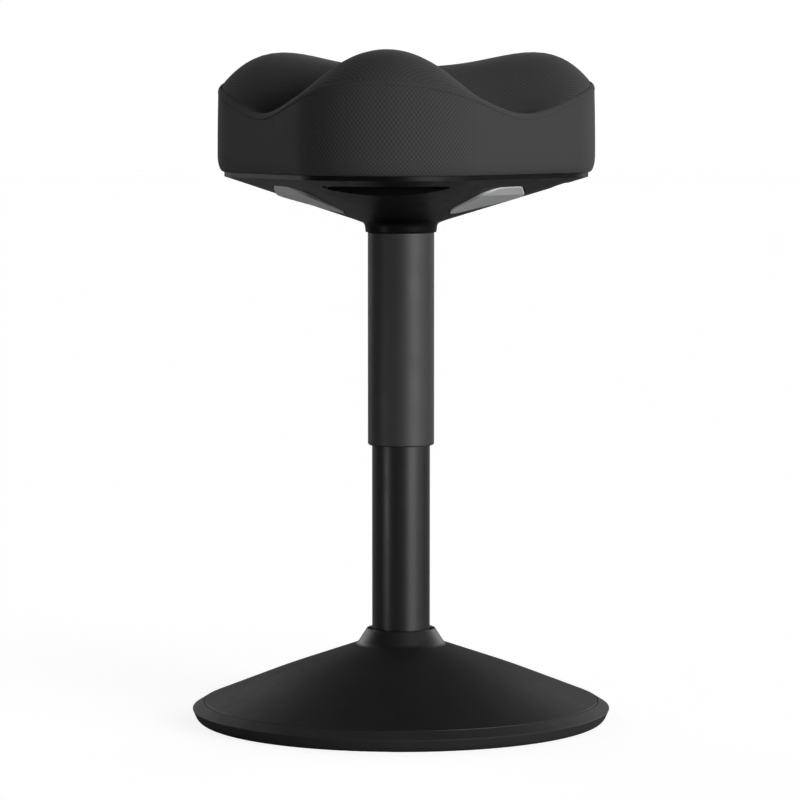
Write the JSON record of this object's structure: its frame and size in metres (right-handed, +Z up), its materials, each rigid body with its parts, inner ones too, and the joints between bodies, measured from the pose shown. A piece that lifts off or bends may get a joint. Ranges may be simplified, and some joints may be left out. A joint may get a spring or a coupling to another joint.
{
  "type": "perch stool",
  "caption": "Height-adjustable perch stool: weighted conical disc base, telescoping gas column with swivel, and a rounded three-lobed cushion on a funnel pan with squeeze paddles.",
  "frame": {"origin": "on the floor, at the centre of the base, under the column's axis", "axes": "+Z up along the column; the seat's front corner points toward -Y and the height paddles are at +X and -X"},
  "size_m": [0.4004, 0.4004, 0.6397],
  "materials": {
    "rim_rubber": "satin black moulded rubber",
    "base_paint": "satin black powder coat",
    "plate_steel": "black primer",
    "ballast_iron": "as cast, primed",
    "column_paint": "satin black powder coat",
    "foot_steel": "zinc plated",
    "screw_steel": "zinc plated",
    "bush_plastic": "natural acetal",
    "bearing_steel": "ground and polished",
    "rod_chrome": "hard chrome",
    "bump_rubber": "black rubber",
    "piston_brass": "turned",
    "seal_rubber": "black rubber",
    "cylinder_steel": "black paint",
    "valve_steel": "turned",
    "sleeve_plastic": "satin dark grey",
    "hub_aluminium": "die cast",
    "pan_plastic": "matte black",
    "paddle_plastic": "satin light grey",
    "board_wood": "birch plywood",
    "cushion_foam": "moulded foam",
    "cover_fabric": "charcoal woven, fine diagonal texture"
  },
  "bodies": {
    "base": {"rim_ring": "rim_rubber", "base_plate": "plate_steel", "ballast_disc": "ballast_iron", "base_shell": "base_paint", "column_tube": "column_paint", "column_foot": "foot_steel", "foot_screws": "screw_steel", "foot_nuts": "screw_steel", "guide_bush": "bush_plastic", "lower_race": "bearing_steel", "bearing_balls": "bearing_steel"},
    "rod": {"upper_race": "bearing_steel", "piston_rod": "rod_chrome", "rod_clip": "screw_steel", "bump_stop": "bump_rubber", "piston": "piston_brass", "piston_seal": "seal_rubber"},
    "seat": {"gas_cylinder": "cylinder_steel", "rod_gland": "bush_plastic", "valve_body": "valve_steel", "cover_sleeve": "sleeve_plastic", "sleeve_cap": "bush_plastic", "sleeve_glide": "bush_plastic", "hub_bracket": "hub_aluminium", "hub_bolts": "screw_steel", "pivot_pin_right": "screw_steel", "pivot_pin_left": "screw_steel", "seat_pan": "pan_plastic", "grip_cup_front": "pan_plastic", "grip_cup_right": "pan_plastic", "grip_cup_left": "pan_plastic", "cup_screws": "screw_steel", "seat_board": "board_wood", "tee_nuts": "screw_steel", "cover_side": "cover_fabric", "cover_top": "cover_fabric", "cushion_foam": "cushion_foam"},
    "valve": {"valve_pin": "valve_steel"},
    "right_paddle": {"paddle_right": "paddle_plastic"},
    "left_paddle": {"paddle_left": "paddle_plastic"}
  },
  "joints": [
    {"name": "seat_swivel", "type": "hinge", "parent": "base", "child": "rod", "pos_m": [0, 0, 0.024], "axis": [0, 0, 1], "continuous": true},
    {"name": "seat_lift", "type": "slide", "parent": "rod", "child": "seat", "axis": [0, 0, 1], "range_m": [0, 0.18]},
    {"name": "right_paddle_squeeze", "type": "hinge", "parent": "seat", "child": "right_paddle", "pos_m": [0.042, 0, 0.5098], "axis": [0, -1, 0], "range_deg": [0, 6], "stiffness_Nm_per_rad": 1.5, "springref_deg": -2.86},
    {"name": "left_paddle_squeeze", "type": "hinge", "parent": "seat", "child": "left_paddle", "pos_m": [-0.042, 0, 0.5098], "axis": [0, 1, 0], "range_deg": [0, 6], "stiffness_Nm_per_rad": 1.5, "springref_deg": -2.86},
    {"name": "valve_press", "type": "slide", "parent": "seat", "child": "valve", "axis": [0, 0, -1], "range_m": [0, 0.004]}
  ],
  "couplings": [
    {"joint": "left_paddle_squeeze", "follows": "right_paddle_squeeze", "ratio": 1},
    {"joint": "valve_press", "follows": "right_paddle_squeeze", "m_per_rad": 0.036}
  ]
}
